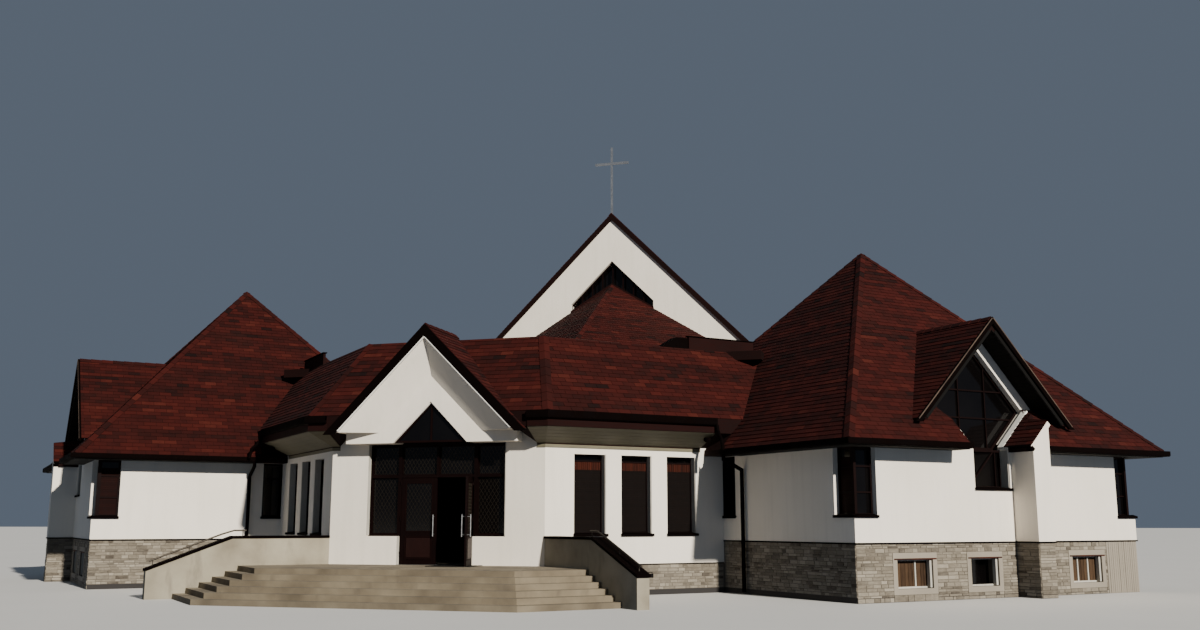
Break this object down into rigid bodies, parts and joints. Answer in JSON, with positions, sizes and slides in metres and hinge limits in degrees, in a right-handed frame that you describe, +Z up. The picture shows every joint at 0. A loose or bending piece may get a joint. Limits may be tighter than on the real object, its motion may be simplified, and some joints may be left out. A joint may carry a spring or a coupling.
{
  "type": "modern church building",
  "caption": "Modern church building with angled square pavilions, a splayed gable entrance over wide steps, steep tiled roofs and a tall gabled nave with a cross.",
  "frame": {"origin": "middle of the footprint box, at the lowest ground level", "axes": "+Z up, the entrance faces -Y, +X to the right of someone who faces the entrance; X = 0 is the plane of symmetry"},
  "size_m": [36.0058, 33.09, 16.745],
  "materials": {
    "render": "rough cement render, painted warm white",
    "stone": "rough coursed stone",
    "concrete": "weathered cast stone",
    "tiles": "red-brown bitumen shingles",
    "dark_metal": "dark brown coated sheet",
    "dark_wood": "dark red-brown varnish",
    "glazing": "window glass",
    "steel": "satin stainless steel"
  },
  "bodies": {
    "building": {"entrance_stairs": "concrete", "parapet_right": "concrete", "parapet_left": "concrete", "parapet_coping_right": "dark_metal", "parapet_coping_left": "dark_metal", "handrail_right": "steel", "handrail_left": "steel", "entrance_wall_right": "render", "entrance_wall_left": "render", "entrance_gable": "render", "entrance_verge": "dark_metal", "entrance_frame": "dark_wood", "entrance_glass": "glazing", "front_base": "stone", "front_wall_right": "render", "front_wall_left": "render", "front_glass_right": "glazing", "front_glass_left": "glazing", "front_roof": "tiles", "front_gutter_right": "dark_metal", "front_gutter_left": "dark_metal", "wing_base_right": "stone", "wing_base_left": "stone", "wing_front_wall_right": "render", "wing_front_wall_left": "render", "wing_side_walls_right": "render", "wing_side_walls_left": "render", "wing_roof_right": "tiles", "wing_roof_left": "tiles", "wing_verge_right": "dark_metal", "wing_verge_left": "dark_metal", "wing_gutter_inner_right": "dark_metal", "wing_gutter_inner_left": "dark_metal", "wing_gutter_outer_right": "dark_metal", "wing_gutter_outer_left": "dark_metal", "wing_glass_right": "glazing", "wing_glass_left": "glazing", "wing_basement_panes_right": "glazing", "wing_basement_panes_left": "glazing", "hall_wall_right": "render", "hall_wall_left": "render", "central_roof": "tiles", "nave_front_gable": "render", "chevron_glass": "glazing", "nave_back_gable": "render", "nave_wall_right": "render", "nave_wall_left": "render", "nave_glass_right": "glazing", "nave_glass_left": "glazing", "nave_roof": "tiles", "cross": "steel"},
    "right_leaf": {"door_right": "dark_wood", "door_pull_right": "steel"},
    "left_leaf": {"door_left": "dark_wood", "door_pull_left": "steel"}
  },
  "joints": [
    {"name": "right_leaf_hinge", "type": "hinge", "parent": "building", "child": "right_leaf", "pos_m": [0.985, -12.08, 0.75], "axis": [0, 0, 1], "range_deg": [-105, 0]},
    {"name": "left_leaf_hinge", "type": "hinge", "parent": "building", "child": "left_leaf", "pos_m": [-0.985, -12.08, 0.75], "axis": [0, 0, -1], "range_deg": [0, 105]}
  ]
}
